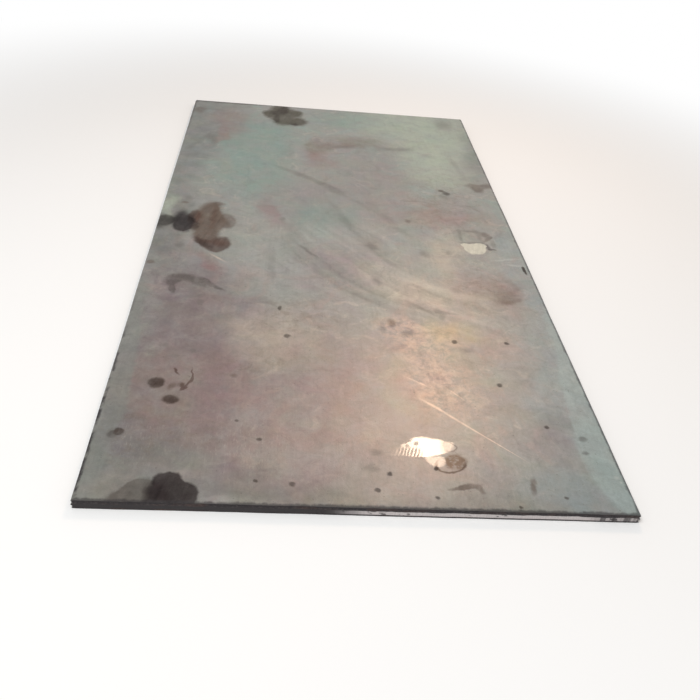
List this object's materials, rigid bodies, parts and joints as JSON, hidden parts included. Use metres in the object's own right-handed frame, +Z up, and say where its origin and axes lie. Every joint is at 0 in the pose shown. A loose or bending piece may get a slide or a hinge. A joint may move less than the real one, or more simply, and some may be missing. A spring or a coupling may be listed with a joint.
{
  "type": "steel plate",
  "caption": "Flat rectangular hot-rolled steel plate with rolled mill edges along its sides and sheared ends, lying flat as raw stock for cutting and fabrication.",
  "frame": {"origin": "middle of the underside", "axes": "+Z up through the thickness, +Y along the length from the near sheared end to the far one, +X across the width"},
  "size_m": [1.25, 2.5, 0.025],
  "materials": {
    "hot_rolled_steel": "satin grey mill finish with oil stains, faint rust bloom and dark edges"
  },
  "bodies": {
    "root": {"steel_plate": "hot_rolled_steel"}
  },
  "joints": []
}
